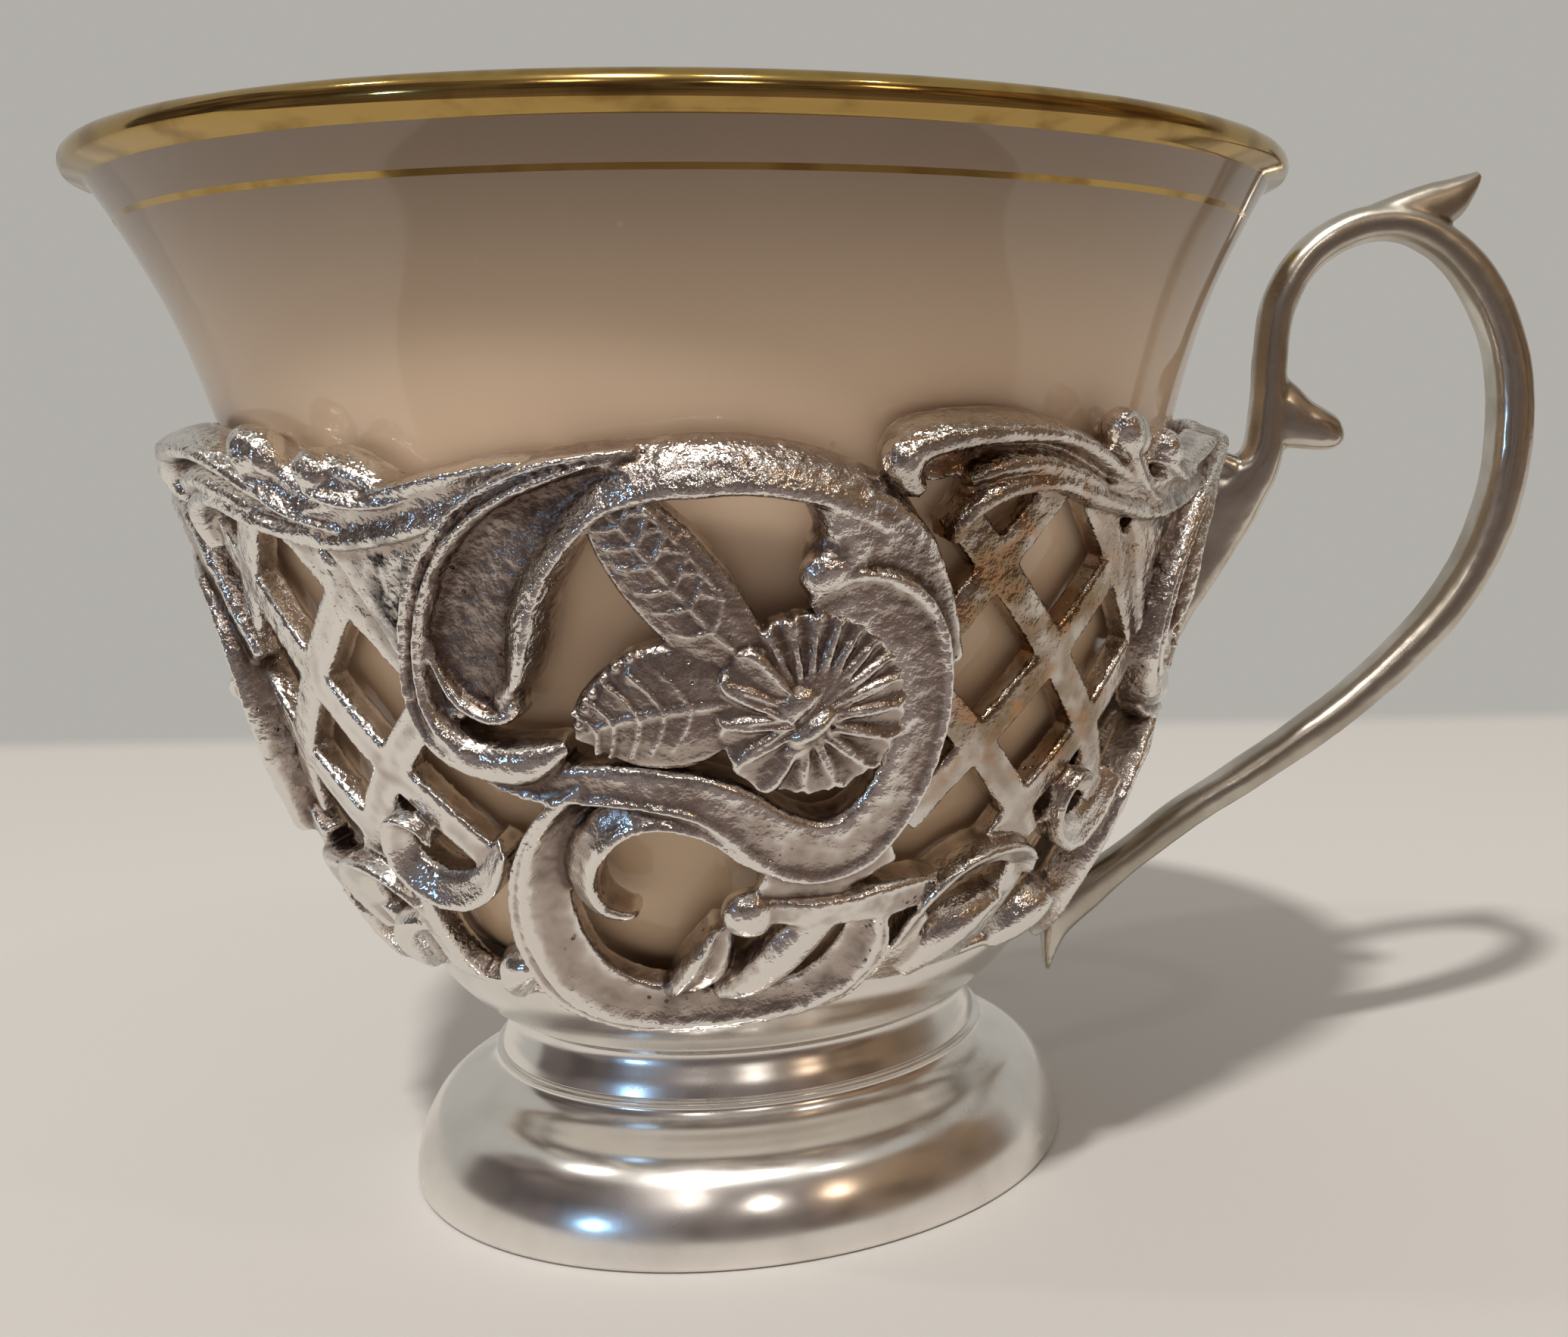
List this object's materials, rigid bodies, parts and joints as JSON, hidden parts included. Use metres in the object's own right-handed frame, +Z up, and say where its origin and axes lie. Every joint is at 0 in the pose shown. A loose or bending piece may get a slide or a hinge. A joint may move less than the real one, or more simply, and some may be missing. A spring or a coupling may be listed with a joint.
{
  "type": "demitasse cup with holder",
  "caption": "Footed demitasse cup: a flared porcelain liner stands loose in a pierced cast silver holder of scrolls, flowers and trellis with a loop handle.",
  "frame": {"origin": "on the table under the middle of the bounding box of cup and handle together", "axes": "+Z up along the cup's axis, +X from the cup towards its handle"},
  "size_m": [0.0888, 0.07, 0.0608],
  "materials": {
    "porcelain": "glossy ivory glaze, gilded at the rim",
    "silver": "worn polish",
    "cast_silver": "worn polish on the crests, oxidised dark in the recesses"
  },
  "bodies": {
    "holder": {"base_dish": "silver", "neck_ring": "silver", "spun_foot": "silver", "handle": "silver", "scroll_casting_1": "cast_silver", "scroll_casting_2": "cast_silver", "scroll_casting_3": "cast_silver", "scroll_casting_4": "cast_silver", "trellis_casting_1": "cast_silver", "trellis_casting_2": "cast_silver", "trellis_casting_3": "cast_silver", "trellis_casting_4": "cast_silver", "flower_spray_1": "cast_silver", "flower_spray_2": "cast_silver", "flower_spray_3": "cast_silver", "flower_spray_4": "cast_silver"},
    "liner": {"porcelain_liner": "porcelain"}
  },
  "joints": [
    {"name": "liner_lift", "type": "slide", "parent": "holder", "child": "liner", "axis": [0, 0, 1], "range_m": [0, 0.036]}
  ]
}
